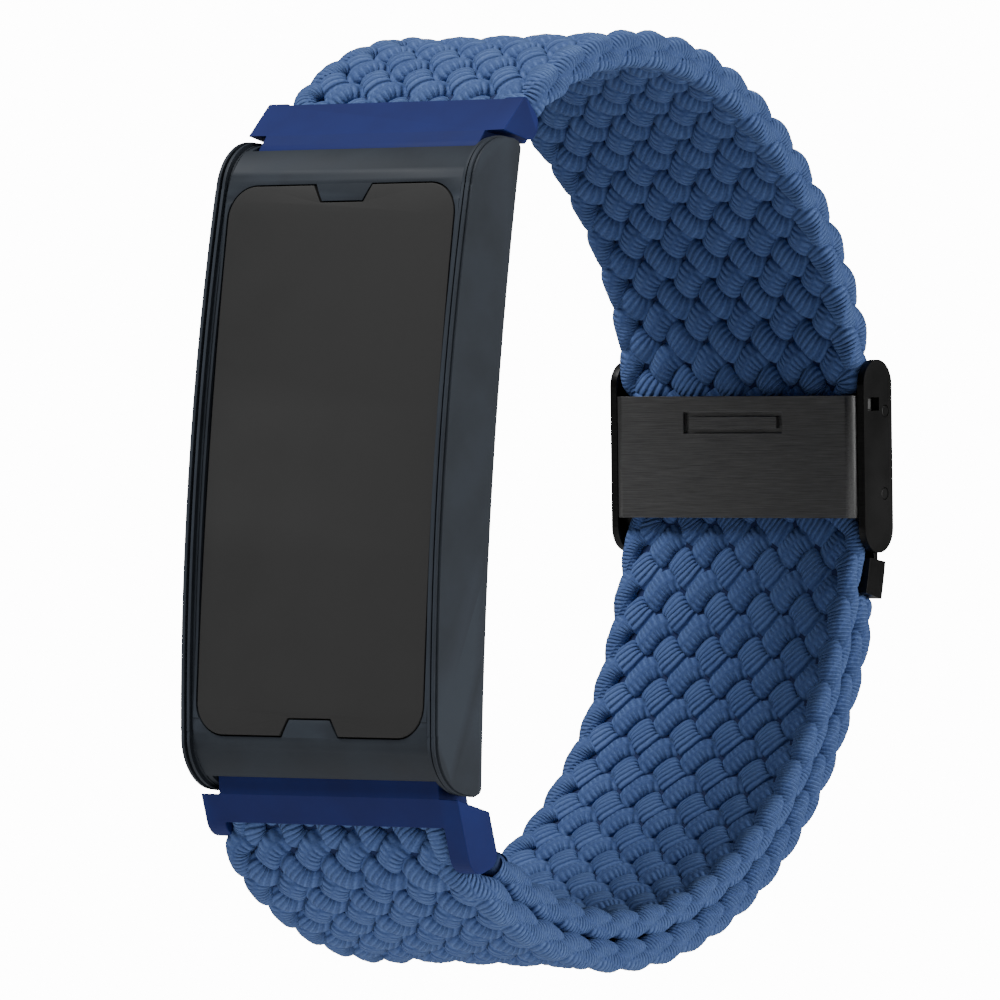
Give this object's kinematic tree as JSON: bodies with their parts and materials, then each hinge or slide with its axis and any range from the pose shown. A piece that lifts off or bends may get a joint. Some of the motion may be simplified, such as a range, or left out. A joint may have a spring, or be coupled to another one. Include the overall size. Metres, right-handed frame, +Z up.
{
  "type": "fitness tracker band",
  "caption": "Fitness tracker on a closed braided strap; a fold-over buckle grips the strap's tail. The display faces -Y and the wrist passes along X.",
  "frame": {"origin": "middle of the wrist opening, level with the middle of the display", "axes": "+X across the band, along the wrist; +Y from the display to the buckle; +Z up along the display"},
  "size_m": [0.0232, 0.0573, 0.0681],
  "materials": {
    "case": "satin anodised, dark blue-grey",
    "display": "matt, neutral dark grey",
    "seal": "matt",
    "panel": "gloss black",
    "board": "solder mask",
    "shield": "tin-plated sheet",
    "chip": "matt black",
    "cell": "pouch foil",
    "back": "fine matt texture",
    "lens": "polished, dark tinted",
    "led": "clear",
    "contact": "gold-plated",
    "steel": "satin",
    "connector": "satin navy blue",
    "braid": "braided yarn-covered elastic cords, denim blue",
    "tip": "heat-set",
    "buckle": "black coated, finely brushed",
    "pin": "black coated"
  },
  "bodies": {
    "tracker": {"case_shell": "case", "display_cover": "display", "display_seal": "seal", "display_panel": "panel", "main_board": "board", "board_shield": "shield", "processor": "chip", "battery": "cell", "vibration_motor": "shield", "back_cover": "back", "back_seal": "seal", "sensor_window": "lens", "sensor_board": "board", "sensor_leds": "led", "charging_contacts": "contact", "case_screws": "steel"},
    "upper_band": {"top_connector": "connector", "top_spring_bar": "steel", "top_bar_spring": "steel", "upper_strap": "braid", "tail_tip": "tip", "buckle_base": "buckle"},
    "lower_band": {"bottom_connector": "connector", "bottom_spring_bar": "steel", "bottom_bar_spring": "steel", "lower_strap": "braid", "end_clamp": "buckle"},
    "cover": {"buckle_cover": "buckle", "hinge_pin": "pin", "clamp_pin": "pin", "clamp_bar": "pin"},
    "top_release": {"top_release_pin": "steel"},
    "bottom_release": {"bottom_release_pin": "steel"}
  },
  "joints": [
    {"name": "lower_band_swing", "type": "hinge", "parent": "tracker", "child": "lower_band", "pos_m": [0, -0.0237, -0.0222], "axis": [-1, 0, 0], "range_deg": [0, 25]},
    {"name": "upper_band_swing", "type": "hinge", "parent": "tracker", "child": "upper_band", "pos_m": [0, -0.0237, 0.0222], "axis": [1, 0, 0], "range_deg": [0, 10]},
    {"name": "cover_hinge", "type": "hinge", "parent": "upper_band", "child": "cover", "pos_m": [0, 0.0269, 0.0032], "axis": [-1, 0, 0], "range_deg": [0, 105]},
    {"name": "top_release_slide", "type": "slide", "parent": "upper_band", "child": "top_release", "axis": [-1, 0, 0], "range_m": [0, 0.0012], "stiffness_N_per_m": 400, "springref_m": -0.001, "deforming": ["top_bar_spring"]},
    {"name": "bottom_release_slide", "type": "slide", "parent": "lower_band", "child": "bottom_release", "axis": [-1, 0, 0], "range_m": [0, 0.0012], "stiffness_N_per_m": 400, "springref_m": -0.001, "deforming": ["bottom_bar_spring"]}
  ],
  "couplings": [
    {"joint": "upper_band_swing", "follows": "lower_band_swing", "ratio": 0.4}
  ]
}
